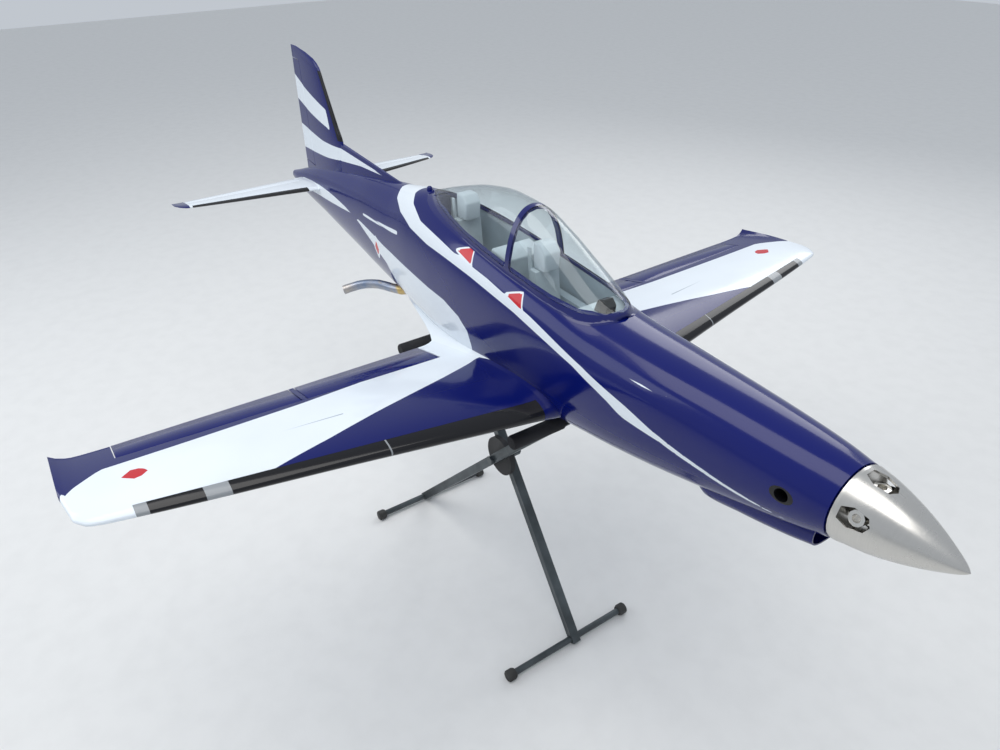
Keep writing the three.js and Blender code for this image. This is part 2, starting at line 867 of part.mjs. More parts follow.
// Round rubber boot with a flat underside, closed at the outer end
function footCap([x, z], side) {
  const reach = FOOT_HALF + 7;
  const profile = [
    [reach - CAP_LENGTH, CAP_RADIUS - 3],
    [reach - CAP_LENGTH + 6, CAP_RADIUS],
    [reach - 3, CAP_RADIUS],
    [reach, CAP_RADIUS - 3],
  ];
  const across = new THREE.Vector3(1, 0, 0);
  const up = new THREE.Vector3(0, 0, 1);
  const rings = profile.map(([y, radius]) => {
    return circleRing(new THREE.Vector3(x, side * y, z), across, up, radius + 1.2, 14);
  });
  const boreStart = [x, side * (reach - CAP_LENGTH - 2), z];
  const bore = rod(boreStart, [x, side * (FOOT_HALF - 1.5), z], FOOT_BAR_RADIUS + GAP);
  return loft(rings)
    .subtract(bore)
    .subtract(box(x - 30, x + 30, -300, 300, -AXIS_HEIGHT - 20, -AXIS_HEIGHT));
}

function topBar([x, z]) {
  return rod([x, -TOP_BAR_HALF + 4, z], [x, TOP_BAR_HALF - 4, z], TOP_BAR_RADIUS);
}

function foamSleeve([x, z], legY, side) {
  const inner = side > 0 ? Math.max(legY + TUBE / 2, 0) + 4 : Math.min(legY - TUBE / 2, 0) - 4;
  const outer = side * TOP_BAR_HALF;
  const sleeve = rod([x, inner, z], [x, outer, z], FOAM_RADIUS, 24);
  const barEnd = side * (TOP_BAR_HALF - 4 + GAP);
  return sleeve.subtract(rod([x, inner - side * 3, z], [x, barEnd, z], TOP_BAR_RADIUS + GAP));
}

function clutchDisc() {
  const reach = LEG_OFFSET - TUBE / 2 - GAP;
  const disc = rod([HUB[0], -reach, HUB[1]], [HUB[0], reach, HUB[1]], CLUTCH_RADIUS, 40);
  return disc.subtract(rod([HUB[0], -20, HUB[1]], [HUB[0], 20, HUB[1]], BOLT_RADIUS + GAP));
}

function pivotBolt() {
  const face = LEG_OFFSET + TUBE / 2 + GAP;
  const shank = rod([HUB[0], -face - 3, HUB[1]], [HUB[0], face + 3, HUB[1]], BOLT_RADIUS);
  const head = rod([HUB[0], -face, HUB[1]], [HUB[0], -face - 8, HUB[1]], 13, 6);
  const knob = rod([HUB[0], face, HUB[1]], [HUB[0], face + 22, HUB[1]], 17, 8);
  return shank.add(head).add(knob);
}

// ---- assembly ----
const group = new THREE.Group();
const model = new THREE.Group();
model.position.set(LENGTH / 2, 0, AXIS_HEIGHT);
group.add(model);
const NAVY = [0x0c1a66, 0.16, 0];
const WHITE = [0xdfe6ec, 0.22, 0];
const GREY = [0x9fa8ab, 0.6, 0];
const PALE = [0xd9dedd, 0.5, 0];
const BLACK = [0x0a0a0c, 0.25, 0];
const SATIN = [0xb9b7b2, 0.35, 0.9];
const POLISHED = [0xd4d2cc, 0.12, 1];
const STEEL = [0x4c5254, 0.45, 0.8];
const RUBBER = [0x2c2c2b, 0.85, 0];
const FOAM = [0x17171a, 0.95, 0];
const TINTED = [0x9a948c, 0.35, 0.9];

function add(name, solid, [color, roughness, metalness]) {
  const material = new THREE.MeshStandardMaterial({ color, roughness, metalness });
  const mesh = new THREE.Mesh(geometryOf(solid), material);
  mesh.name = name;
  model.add(mesh);
}

add("fuselage_shell", fuselageShell(), NAVY);
add("chin_intake", chinIntake(), NAVY);
add("canopy_glass", canopyGlass(), [0xdfe8ea, 0.03, 0]);
add("canopy_frame", canopyFrame(), NAVY);
add("cockpit_tub", cockpitTub(), GREY);
add("front_seat", seat(SEATS.front), PALE);
add("front_headbox", headbox(SEATS.front), WHITE);
add("rear_seat", seat(SEATS.rear), PALE);
add("rear_headbox", headbox(SEATS.rear), WHITE);
add("front_coaming", frontCoaming(), PALE);
add("rear_coaming", rearCoaming(), PALE);
add("sight_unit", sightUnit(), [0x3a3634, 0.1, 0]);
add("antenna_dome", antennaDome(), NAVY);
add("spinner_cone", spinnerCone(), SATIN);
add("spinner_backplate", spinnerBackplate(), SATIN);
add("propeller_hub", propellerHub(), POLISHED);
add("drive_shaft", driveShaft(), STEEL);
add("firewall", firewall(), [0xb08d5a, 0.7, 0]);
add("turbine_engine", turbineEngine(), SATIN);
add("fuel_tank", fuelTank(), PALE);
add("wing_joiner", wingJoiner(), [0x151517, 0.4, 0]);
add("fin", fin(), NAVY);
add("fin_boot", finBoot(), BLACK);
add("rudder", rudder(), NAVY);

for (const [side, label] of [
  [-1, "right"],
  [1, "left"],
]) {
  add("console_" + label, console(side), GREY);
  add("exhaust_pipe_" + label, exhaustPipe(side), TINTED);
  add("wing_" + label, wing(side), WHITE);
  add("wing_boot_" + label, wingBoot(side), BLACK);
  add("flap_" + label, surfaceSolid(WING, FLAP_SPAN, WING_HINGE, side), NAVY);
  add("aileron_" + label, surfaceSolid(WING, AILERON_SPAN, WING_HINGE, side), NAVY);
  add("tailplane_" + label, tailplane(side), WHITE);
  add("tail_boot_" + label, tailBoot(side), BLACK);
  add("elevator_" + label, surfaceSolid(TAIL, ELEVATOR_SPAN, TAIL_HINGE, side), WHITE);
  add("near_foot_cap_" + label, footCap(NEAR_FOOT, side), RUBBER);
  add("far_foot_cap_" + label, footCap(FAR_FOOT, side), RUBBER);
  add("front_foam_" + label, foamSleeve(FRONT_BAR, -LEG_OFFSET, side), FOAM);
  add("rear_foam_" + label, foamSleeve(REAR_BAR, LEG_OFFSET, side), FOAM);
}

add("near_leg", leg(NEAR_FOOT, REAR_BAR, LEG_OFFSET), STEEL);
add("far_leg", leg(FAR_FOOT, FRONT_BAR, -LEG_OFFSET), STEEL);
add("near_foot_bar", footBar(NEAR_FOOT), STEEL);
add("far_foot_bar", footBar(FAR_FOOT), STEEL);
add("front_top_bar", topBar(FRONT_BAR), STEEL);
add("rear_top_bar", topBar(REAR_BAR), STEEL);
add("clutch_disc", clutchDisc(), BLACK);
add("pivot_bolt", pivotBolt(), STEEL);

export default group;
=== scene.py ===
import math

import bmesh
import bpy
import numpy as np
from mathutils import Matrix, Vector


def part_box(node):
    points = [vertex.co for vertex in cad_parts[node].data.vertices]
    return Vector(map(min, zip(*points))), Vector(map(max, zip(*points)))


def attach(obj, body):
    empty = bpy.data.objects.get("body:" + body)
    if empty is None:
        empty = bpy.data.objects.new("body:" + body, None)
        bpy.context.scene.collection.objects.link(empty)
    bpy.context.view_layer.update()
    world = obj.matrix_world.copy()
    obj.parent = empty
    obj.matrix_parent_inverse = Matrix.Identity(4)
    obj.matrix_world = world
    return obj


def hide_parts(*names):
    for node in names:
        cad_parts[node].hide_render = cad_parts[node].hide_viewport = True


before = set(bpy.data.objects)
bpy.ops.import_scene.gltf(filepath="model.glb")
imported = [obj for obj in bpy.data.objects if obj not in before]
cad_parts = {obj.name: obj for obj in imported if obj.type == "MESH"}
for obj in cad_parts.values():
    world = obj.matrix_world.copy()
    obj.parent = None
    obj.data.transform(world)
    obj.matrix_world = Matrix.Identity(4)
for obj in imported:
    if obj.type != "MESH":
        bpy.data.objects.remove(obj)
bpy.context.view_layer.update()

# Spinner tip in the row frame, metres.
# The tables are in millimetres from that tip: x forwards, y to port, z up.
CONE_LOW, CONE_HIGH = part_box("spinner_cone")
TIP_X = CONE_HIGH.x
AXIS_Z = (CONE_LOW.z + CONE_HIGH.z) / 2

# Fuselage stations: x, top, bottom, half width, height of the widest point, squareness

FUSELAGE = [
    (-182, 66, -68, 66, -1, 2),
    (-230, 71, -84, 73, -2, 2.1),
    (-300, 75, -102, 80, -6, 2.2),
    (-425, 79, -134, 89, -12, 2.3),
    (-560, 81, -165, 98, -20, 2.4),
    (-702, 84, -190, 105, -30, 2.5),
    (-840, 98, -208, 109, -30, 2.7),
    (-1000, 112, -220, 111, -30, 2.8),
    (-1150, 124, -226, 110, -32, 2.8),
    (-1300, 134, -224, 105, -36, 2.6),
    (-1436, 137, -216, 96, -42, 2.4),
    (-1596, 114, -207, 80, -46, 2.2),
    (-1750, 92, -192, 66, -50, 2.2),
    (-1900, 68, -176, 54, -54, 2.1),
    (-2050, 42, -158, 43, -58, 2.1),
    (-2200, 12, -140, 33, -64, 2),
    (-2331, -22, -126, 24, -74, 2),
    (-2420, -50, -112, 17, -81, 2),
    (-2479, -68, -97, 9, -83, 2),
]
# Canopy stations: x, top, half width
CANOPY = [
    (-704, 90, 22),
    (-714, 97, 40),
    (-735, 110, 61),
    (-780, 132, 74),
    (-850, 168, 79),
    (-920, 203, 80),
    (-999, 230, 80),
    (-1090, 234, 78),
    (-1184, 221, 74),
    (-1280, 195, 65),
    (-1347, 173, 55),
    (-1400, 154, 40),
    (-1434, 143, 18),
]
CANOPY_BASE = 30
CANOPY_SQUARE = 2.3
ARCH_X = -999
ARCH_HALF = 7.5
SILL = 11
PANE_THICKNESS = 0.0012
# Wing and tail sections: span station, leading edge x and z, trailing edge x and z, thickness ratio
WING = [
    (42, -776, -150, -1560, -192, 0.12),
    (62, -779, -149, -1476, -195, 0.14),
    (80, -783, -149, -1395, -199, 0.165),
    (96, -786, -148, -1334, -201, 0.175),
    (114, -790, -148, -1293, -201, 0.165),
    (150, -796, -147, -1278, -198, 0.15),
    (500, -863, -136, -1260, -182, 0.135),
    (930, -945, -123, -1241, -162, 0.12),
    (975, -956, -121, -1240, -158, 0.105),
    (1000, -985, -122, -1244, -151, 0.08),
    (1012, -1070, -128, -1248, -144, 0.05),
]
TAIL = [
    (14, -2150, -45, -2358, -60, 0.11),
    (60, -2160, -45, -2356, -60, 0.1),
    (400, -2232, -47, -2334, -58, 0.1),
    (445, -2246, -48, -2334, -57, 0.09),
    (466, -2272, -50, -2336, -57, 0.07),
    (474, -2300, -53, -2338, -57, 0.05),
]
# Fin sections: height, leading edge x, trailing edge x, thickness ratio
FIN = [
    (-40, -2010, -2331, 0.09),
    (132, -1997, -2330, 0.08),
    (180, -2023, -2329, 0.078),
    (300, -2089, -2327, 0.07),
    (338, -2111, -2326, 0.07),
    (358, -2148, -2326, 0.065),
    (372, -2215, -2325, 0.06),
    (380, -2285, -2325, 0.06),
]
# Ridge ahead of the fin: x, ridge height, half width at the ridge and at the base
DORSAL = [(-1600, 111, 2, 5), (-1700, 116, 3, 8), (-1850, 124, 4, 11), (-2004, 132, 5, 13)]
# Spinner: distance behind the tip, radius
SPINNER = [(0, 0), (6, 6), (30, 20), (70, 38.5), (110, 52.5), (145, 61.5), (174, 66)]
# Chin scoop: x, centre height, half width, half height
CHIN = [
    (-204, -74, 43, 27),
    (-250, -84, 46, 30),
    (-340, -100, 49, 34),
    (-420, -112, 49, 38),
    (-438, -108, 46, 34),
]
CHIN_WALL = 3
WELL_INSET = 10
WELL_FLOOR = -97
PORT_X, PORT_Z, PORT_RADIUS = -254, -4, 12
WING_HINGE = 0.76
FLAP_SPAN = (165, 500)
AILERON_SPAN = (516, 900)
WING_BOOT_SPAN = (122, 905)
WING_BOOT_CHORD = 0.07
TAIL_HINGE = 0.66
ELEVATOR_SPAN = (52, 436)
TAIL_BOOT_SPAN = (70, 430)
TAIL_BOOT_CHORD = 0.1
RUDDER_SPAN = (10, 340)
FIN_BOOT_SPAN = (140, 330)
FIN_BOOT_CHORD = 0.055
BLADES = 5
GAP = 0.3
COVE_GAP = 1.4


# ---- numbers ----
def smooth_row(table, x):
    """Row of a table at x, on a smooth line through its rows that doesn't overshoot them."""
    rows = sorted(table)
    keys = [r[0] for r in rows]
    x = min(max(x, keys[0]), keys[-1])
    i = min(max(int(np.searchsorted(keys, x)) - 1, 0), len(rows) - 2)
    a, b = rows[i], rows[i + 1]
    h = b[0] - a[0]
    t = (x - a[0]) / h
    out = [x]
    for k in range(1, len(a)):
        slope = (b[k] - a[k]) / h
        before = slope if i == 0 else (a[k] - rows[i - 1][k]) / (a[0] - rows[i - 1][0])
        after = slope if i + 2 == len(rows) else (rows[i + 2][k] - b[k]) / (rows[i + 2][0] - b[0])
        start = 0 if before * slope <= 0 else 2 * before * slope / (before + slope)
        end = 0 if after * slope <= 0 else 2 * after * slope / (after + slope)
        value = a[k] * (2 * t**3 - 3 * t**2 + 1) + b[k] * (3 * t**2 - 2 * t**3)
        out.append(value + h * (start * (t**3 - 2 * t**2 + t) + end * (t**3 - t**2)))
    return out


def stops(table, step):
    keys = sorted(r[0] for r in table)
    count = int((keys[-1] - keys[0]) / step)
    return sorted(set(keys) | {keys[0] + (keys[-1] - keys[0]) * i / count for i in range(count)})


def signed(points, outline):
    """Distance inside (+) or outside (-) a closed outline, for many 2D points."""
    a = np.array(outline, float)
    b = np.roll(a, -1, 0)
    e = b - a
    d = points[:, None, :] - a[None]
    t = np.clip((d * e).sum(-1) / (e * e).sum(-1), 0, 1)
    distance = np.sqrt(((d - t[..., None] * e) ** 2).sum(-1)).min(1)
    crosses = (a[:, 1] > points[:, 1:2]) != (b[:, 1] > points[:, 1:2])
    rise = np.where(e[:, 1] == 0, 1e-9, e[:, 1])
    at = a[:, 0] + (points[:, 1:2] - a[:, 1]) / rise * e[:, 0]
    odd = (crosses & (points[:, 0:1] < at)).sum(1) % 2
    return np.where(odd == 1, distance, -distance)


def nearest_of(points, outlines):
    return np.max([signed(points, o) for o in outlines], axis=0)


# ---- meshes ----
def to_row(p):
    return (TIP_X + p[0] / 1000, p[1] / 1000, AXIS_Z + p[2] / 1000)


def mesh_object(name, points, faces):
    mesh = bpy.data.meshes.new(name)
    mesh.from_pydata([to_row(p) for p in points], [], faces)
    work = bmesh.new()
    work.from_mesh(mesh)
    bmesh.ops.remove_doubles(work, verts=work.verts, dist=1e-6)
    bmesh.ops.recalc_face_normals(work, faces=work.faces)
    work.to_mesh(mesh)
    work.free()
    mesh.polygons.foreach_set("use_smooth", [True] * len(mesh.polygons))
    made = bpy.data.objects.new(name, mesh)
    bpy.context.scene.collection.objects.link(made)
    return made


def loft(name, rings):
    count = len(rings[0])
    points = [p for ring in rings for p in ring]
    faces = []
    for r in range(len(rings) - 1):
        for i in range(count):
            a = r * count + i
            b = r * count + (i + 1) % count
            faces.append((a, b, b + count, a + count))
    faces.append(tuple(range(count)))
    faces.append(tuple(reversed(range((len(rings) - 1) * count, len(rings) * count))))
    return mesh_object(name, points, faces)


def carve(piece, tool, operation="DIFFERENCE"):
    """Cuts a piece with a tool and removes the tool."""
    change = piece.modifiers.new("carve", "BOOLEAN")
    change.operation = operation
    change.object = tool
    change.solver = "EXACT"
    bpy.context.view_layer.update()
    finished = piece.evaluated_get(bpy.context.evaluated_depsgraph_get())
    result = bpy.data.meshes.new_from_object(finished)
    piece.modifiers.clear()
    piece.data = result
    bpy.data.objects.remove(tool)
    return piece


def split_edges(piece, degrees=32):
    change = piece.modifiers.new("edges", "EDGE_SPLIT")
    change.split_angle = math.radians(degrees)
    return piece


def place(piece, body, slot, *nodes):
    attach(piece, body)
    if nodes:
        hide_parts(*nodes)
    return piece


def own_coordinates(piece):
    """Vertices of a piece in millimetres behind the spinner tip."""
    co = np.zeros(len(piece.data.vertices) * 3, np.float32)
    piece.data.vertices.foreach_get("co", co)
    co = co.reshape(-1, 3).astype(float)
    return (co - np.array([TIP_X, 0, AXIS_Z])) * 1000


def paint(piece, name, values):
    attribute = piece.data.attributes.new(name, "FLOAT", "POINT")
    attribute.data.foreach_set("value", np.asarray(values, np.float32))


# ---- materials ----
class Recipe:
    """A small builder of shader nodes for one procedural material."""

    def __init__(self, name):
        self.material = bpy.data.materials.new(name)
        self.material.use_nodes = True
        self.tree = self.material.node_tree
        self.shader = self.tree.nodes["Principled BSDF"]
        self.where = self.tree.nodes.new("ShaderNodeTexCoord").outputs["Object"]

    def link(self, source, target):
        self.tree.links.new(source, target)

    def noise(self, scale, detail=4, stretch=None):
        node = self.tree.nodes.new("ShaderNodeTexNoise")
        node.inputs["Scale"].default_value = scale
        node.inputs["Detail"].default_value = detail
        source = self.where
        if stretch:
            mapping = self.tree.nodes.new("ShaderNodeMapping")
            mapping.inputs["Scale"].default_value = stretch
            self.link(source, mapping.inputs["Vector"])
            source = mapping.outputs["Vector"]
        self.link(source, node.inputs["Vector"])
        return node.outputs["Fac"]

    def ranged(self, source, low, high, to_low, to_high):
        node = self.tree.nodes.new("ShaderNodeMapRange")
        for key, value in (("From Min", low), ("From Max", high), ("To Min", to_low), ("To Max", to_high)):
            node.inputs[key].default_value = value
        self.link(source, node.inputs["Value"])
        return node.outputs["Result"]

    def mixed(self, factor, first, second):
        node = self.tree.nodes.new("ShaderNodeMix")
        node.data_type = "RGBA"
        self.link(factor, node.inputs["Factor"])
        for socket, value in ((node.inputs[6], first), (node.inputs[7], second)):
            if isinstance(value, tuple):
                socket.default_value = (*value, 1)
            else:
                self.link(value, socket)
        return node.outputs[2]

    def layer(self, name):
        """1 where a painted region's distance is above zero, with an edge 0.6 mm wide."""
        node = self.tree.nodes.new("ShaderNodeAttribute")
        node.attribute_name = name
        return self.ranged(node.outputs["Fac"], -0.3, 0.3, 0, 1)

    def bump(self, source, strength, distance):
        node = self.tree.nodes.new("ShaderNodeBump")
        node.inputs["Strength"].default_value = strength
        node.inputs["Distance"].default_value = distance
        self.link(source, node.inputs["Height"])
        self.link(node.outputs["Normal"], self.shader.inputs["Normal"])

    def surface(self, colour, rough, metal=0.0, coat=0.0):
        if isinstance(colour, tuple):
            self.shader.inputs["Base Color"].default_value = (*colour, 1)
        else:
            self.link(colour, self.shader.inputs["Base Color"])
        self.link(self.ranged(self.noise(9, 5), 0.3, 0.7, *rough), self.shader.inputs["Roughness"])
        self.shader.inputs["Metallic"].default_value = metal
        self.shader.inputs["Coat Weight"].default_value = coat
        self.shader.inputs["Coat Roughness"].default_value = 0.04
        self.shader.inputs["Specular IOR Level"].default_value = 0.28 if coat else 0.5
        return self.material


NAVY = (0.0008, 0.005, 0.11)
WHITE = (0.76, 0.82, 0.88)
RED = (0.55, 0.012, 0.02)
BLACK = (0.006, 0.006, 0.008)
GREY = (0.3, 0.32, 0.34)


def lacquer(name, base, layers=()):
    made = Recipe(name)
    fleck = made.noise(60, 6)
    tone = tuple(min(1, c * 1.12) for c in base)
    colour = made.mixed(made.ranged(made.noise(2.5, 3), 0.35, 0.65, 0, 1), base, tone)
    for layer, paint_colour in layers:
        colour = made.mixed(made.layer(layer), colour, paint_colour)
    made.bump(fleck, 0.05, 0.0004)
    return made.surface(colour, (0.1, 0.18), coat=0.2)


def plain(name, colour, rough, metal=0.0, grain=120, depth=0.15, worn=0.8):
    made = Recipe(name)
    dull = tuple(c * worn for c in colour)
    wear = made.ranged(made.noise(14, 6), 0.4, 0.68, 0, 1)
    tone = made.mixed(wear, colour, dull)
    made.bump(made.noise(grain, 5), depth, 0.0006)
    return made.surface(tone, rough, metal)


navy = lacquer("navy_lacquer", NAVY)
# The black layer round the side ports is painted shade: it stands in for the dark inside of a larger
# opening than the drilled hole.
hull = lacquer("hull_lacquer", NAVY, [("white", WHITE), ("red", RED), ("port_shade", BLACK)])
wing_paint = lacquer("wing_lacquer", WHITE, [("navy", NAVY), ("line", (0.4, 0.46, 0.52)), ("red", RED)])
tail_paint = lacquer("tail_lacquer", WHITE, [("navy", NAVY)])
fin_paint = lacquer("fin_lacquer", NAVY, [("white", WHITE)])
white = lacquer("white_lacquer", WHITE)
boot = lacquer("boot_black", BLACK)
boot_banded = lacquer("boot_banded", BLACK, [("band", GREY)])
interior = plain("interior_grey", (0.46, 0.52, 0.56), (0.5, 0.7), grain=300)
pale = plain("seat_pale", (0.6, 0.65, 0.67), (0.4, 0.6), grain=300)
headbox_white = plain("headbox_white", (0.72, 0.76, 0.78), (0.3, 0.5), grain=200, worn=0.92)
rubber = plain("foot_rubber", (0.025, 0.025, 0.024), (0.6, 0.9), grain=260, depth=0.5, worn=2.2)
foam = plain("foam_black", (0.012, 0.012, 0.014), (0.85, 1.0), grain=600, depth=0.9, worn=1.8)
ply = plain("birch_ply", (0.5, 0.34, 0.16), (0.6, 0.8))
carbon = plain("carbon_tube", (0.015, 0.015, 0.017), (0.3, 0.5), grain=500)
steel = plain("stand_coat", (0.055, 0.065, 0.07), (0.3, 0.55), 0.55, grain=260, worn=1.7)
polished = plain("hub_polished", (0.8, 0.78, 0.74), (0.08, 0.2), 1.0, depth=0.04, worn=0.9)
clutch_black = plain("clutch_black", (0.01, 0.01, 0.012), (0.5, 0.7), grain=200)
smoke = plain("display_smoke", (0.03, 0.026, 0.024), (0.05, 0.15), depth=0.03)
tank_white = plain("tank_white", (0.6, 0.6, 0.56), (0.3, 0.5))


def satin_metal():
    made = Recipe("spinner_satin")
    grain = made.noise(40, 6, (40, 1, 1))
    made.bump(grain, 0.08, 0.0003)
    tone = made.mixed(grain, (0.56, 0.55, 0.52), (0.68, 0.66, 0.63))
    return made.surface(tone, (0.2, 0.34), 1.0)


def heated_metal():
    made = Recipe("pipe_tinted")
    patches = made.ranged(made.noise(18, 3), 0.35, 0.65, 0, 1)
    blue = made.mixed(patches, (0.24, 0.3, 0.42), (0.5, 0.46, 0.42))
    straw = made.ranged(made.noise(11, 2), 0.56, 0.62, 0, 1)
    made.bump(made.noise(90, 4), 0.12, 0.0005)
    return made.surface(made.mixed(straw, blue, (0.55, 0.4, 0.16)), (0.22, 0.45), 0.85)


def clear_plastic():
    made = Recipe("canopy_clear")
    glass = made.tree.nodes.new("ShaderNodeBsdfTransparent")
    glass.inputs["Color"].default_value = (0.93, 0.96, 0.97, 1)
    gloss = made.tree.nodes.new("ShaderNodeBsdfGlossy")
    made.link(made.ranged(made.noise(7, 4), 0.3, 0.7, 0.01, 0.05), gloss.inputs["Roughness"])
    facing = made.tree.nodes.new("ShaderNodeLayerWeight").outputs["Facing"]
    sheen = made.tree.nodes.new("ShaderNodeMixShader")
    made.link(made.ranged(facing, 0.45, 1.0, 0.03, 0.4), sheen.inputs["Fac"])
    made.link(glass.outputs["BSDF"], sheen.inputs[1])
    made.link(gloss.outputs["BSDF"], sheen.inputs[2])
    made.surface(NAVY, (0.1, 0.2), coat=0.6)
    painted = made.tree.nodes.new("ShaderNodeMixShader")
    made.link(made.layer("frame"), painted.inputs["Fac"])
    made.link(sheen.outputs["Shader"], painted.inputs[1])
    made.link(made.shader.outputs["BSDF"], painted.inputs[2])
    made.link(painted.outputs["Shader"], made.tree.nodes["Material Output"].inputs["Surface"])
    return made.material


satin = satin_metal()
tinted = heated_metal()
clear = clear_plastic()


def give(piece, material):
    piece.data.materials.clear()
    piece.data.materials.append(material)
    return piece


# ---- fuselage ----
def fuselage_ring(x):
    _, top, bottom, half, widest, square = smooth_row(FUSELAGE, x)
    sides = 112
    ring = []
    for i in range(sides):
        c = math.cos(2 * math.pi * i / sides)
        s = math.sin(2 * math.pi * i / sides)
        rise = top - widest if s >= 0 else widest - bottom
        y = math.copysign(abs(c) ** (2 / square), c) * half
        ring.append((x, y, widest + math.copysign(abs(s) ** (2 / square), s) * rise))
    return ring


def prism(outline, low, high):
    """Upright block over an outline of (x, y)."""
    return loft("tool", [[(x, y, z) for x, y in outline] for z in (low, high)])


def canopy_outline(inset):
    back, front = CANOPY[-1][0] + inset, CANOPY[0][0] - inset
    rows = [r for r in CANOPY if r[2] > inset + 4 and back < r[0] < front]
    return [(x, h - inset) for x, _, h in rows] + [(x, inset - h) for x, _, h in reversed(rows)]


def port_tool(side):
    """Round bar along y that cuts one of the side ports."""
    rings = []
    for y in (side * 76 - 28, side * 76 + 28):
        ring = []
        for i in range(40):
            a = 2 * math.pi * i / 40
            ring.append((PORT_X + PORT_RADIUS * math.cos(a), y, PORT_Z + PORT_RADIUS * math.sin(a)))
        rings.append(ring)
    return loft("tool", rings)


def girth(points):
    """x and the distance round the section (100 mm to the radian, 0 at the widest point) of skin points."""
    out = np.zeros((len(points), 2))
    for i, (x, y, z) in enumerate(points):
        _, top, bottom, half, widest, square = smooth_row(FUSELAGE, x)
        rise = top - widest if z > widest else widest - bottom
        up = (abs(z - widest) / max(rise, 1)) ** (square / 2)
        angle = math.atan2(up, (abs(y) / max(half, 1)) ** (square / 2))
        out[i] = (x, 100 * (angle if z > widest else -angle))
    return out


def around(outline):
    return [(x, math.radians(angle) * 100) for x, angle in outline]


# Paint regions on the fuselage: x, and the girth angle in degrees.
# The angle is 0 at the widest point and 90 on the spine.
STRIPE = [
    (-215, -40), (-322, -24), (-404, -14), (-495, -5), (-555, 0), (-707, 16), (-878, 28), (-1046, 35),
    (-1194, 37), (-1377, 45), (-1447, 58), (-1480, 74), (-1487, 95), (-1585, 95), (-1581, 80), (-1553, 57),
    (-1498, 42), (-1420, 32), (-1315, 27), (-1105, 25), (-932, 21), (-733, 11), (-585, -5), (-495, -9),
    (-404, -18), (-323, -28),
]
SWEEP = [
    (-1840, 6), (-1706, 2), (-1603, -1), (-1424, -2), (-1310, -3), (-1223, -3), (-1156, -6), (-1118, -12),
    (-1110, -22), (-1130, -95), (-1330, -95), (-1560, -34), (-1604, -18), (-1699, -8), (-1814, 3),
]
TAIL_ROOT = [(-1855, 7), (-2150, 20), (-2340, 24), (-2340, -14), (-2150, -4)]
REAR_BAR_MARK = [(-1762, 14), (-1762, 17), (-1497, 22), (-1497, 18)]
NOSE_LINE = [(-618, 29), (-618, 31), (-500, 35.5), (-500, 33.5)]
FLASHES = [(-1148, 40, 34), (-940, 31, 30)]
MARK = (-1664, -10)


def flash(x, angle, size):
    """Three-cornered flash on the stripe, its point aft."""
    up = angle * math.pi / 180 * 100
    return [(x + size, up - size * 0.15), (x - size, up + size * 0.1), (x + size * 0.5, up + size * 0.85)]


def diamond(x, y, size):
    return [(x + size, y), (x, y + size), (x - size, y), (x, y - size)]


body = loft("fuselage_skin", [fuselage_ring(x) for x in stops(FUSELAGE, 7)])
carve(body, prism(canopy_outline(WELL_INSET), WELL_FLOOR, 260))
for side in (-1, 1):
    carve(body, port_tool(side))
spot = own_coordinates(body)
unrolled = girth(spot)
flashes = [flash(*f) for f in FLASHES]
mark_at = (MARK[0], math.radians(MARK[1]) * 100)
whites = [around(o) for o in (STRIPE, SWEEP, TAIL_ROOT, REAR_BAR_MARK, NOSE_LINE)]
white_field = np.maximum(nearest_of(unrolled, whites), nearest_of(unrolled, flashes) + 4)
white_field = np.maximum(white_field, signed(unrolled, diamond(*mark_at, 24)))
paint(body, "white", white_field)
red_field = np.maximum(nearest_of(unrolled, flashes), signed(unrolled, diamond(*mark_at, 15)))
paint(body, "red", red_field)
# Black painted round each side port, out past the 12 mm hole: painted shade standing in for the dark inside
# of a larger opening.
port_shade_field = 21 - np.hypot(spot[:, 0] - PORT_X, (spot[:, 2] - PORT_Z) * 1.4)
paint(body, "port_shade", port_shade_field)
give(split_edges(body, 40), hull)
place(body, "airframe", "navy_gloss", "fuselage_shell")


def chin_ring(x, grow=0.0):
    _, centre, half, high = smooth_row(CHIN, x)
    ring = []
    for i in range(72):
        c = math.cos(2 * math.pi * i / 72)
        s = math.sin(2 * math.pi * i / 72)
        y = math.copysign(abs(c) ** 0.8, c) * (half + grow)
        ring.append((x, y, centre + math.copysign(abs(s) ** 0.8, s) * (high + grow)))
    return ring


chin = loft("chin_scoop", [chin_ring(x) for x in stops(CHIN, 9)])
throat = [chin_ring(x, -CHIN_WALL) for x in (-340, -310, -280, -250, -225, -204)]
throat.append([(x + 6, y, z) for x, y, z in throat[-1]])
carve(chin, loft("tool", throat))
give(split_edges(chin, 40), navy)
place(chin, "airframe", "navy_gloss", "chin_intake")


# ---- canopy ----
def skin_top(x, y):
    """Height of the fuselage's upper skin at a point of the plan."""
    _, top, _, half, widest, square = smooth_row(FUSELAGE, x)
    return widest + (top - widest) * max(0.0, 1 - (abs(y) / half) ** square) ** (1 / square)


def canopy_ring(x):
    """Half section of the canopy, laid on the fuselage skin where it would dip below it."""
    _, top, half = smooth_row(CANOPY, x)
    steps = 72
    ring = []
    for i in range(steps + 1):
        a = math.pi * i / steps
        c = math.cos(a)
        y = math.copysign(abs(c) ** (2 / CANOPY_SQUARE), c) * half
        z = CANOPY_BASE + abs(math.sin(a)) ** (2 / CANOPY_SQUARE) * (top - CANOPY_BASE)
        ring.append((x, y, max(z, skin_top(x, y) + 0.3)))
    return ring


def open_loft(name, rings):
    """Skin over half sections, open along its foot."""
    count = len(rings[0])
    faces = []
    for r in range(len(rings) - 1):
        for i in range(count - 1):
            a = r * count + i
            faces.append((a, a + 1, a + 1 + count, a + count))
    return mesh_object(name, [p for ring in rings for p in ring], faces)


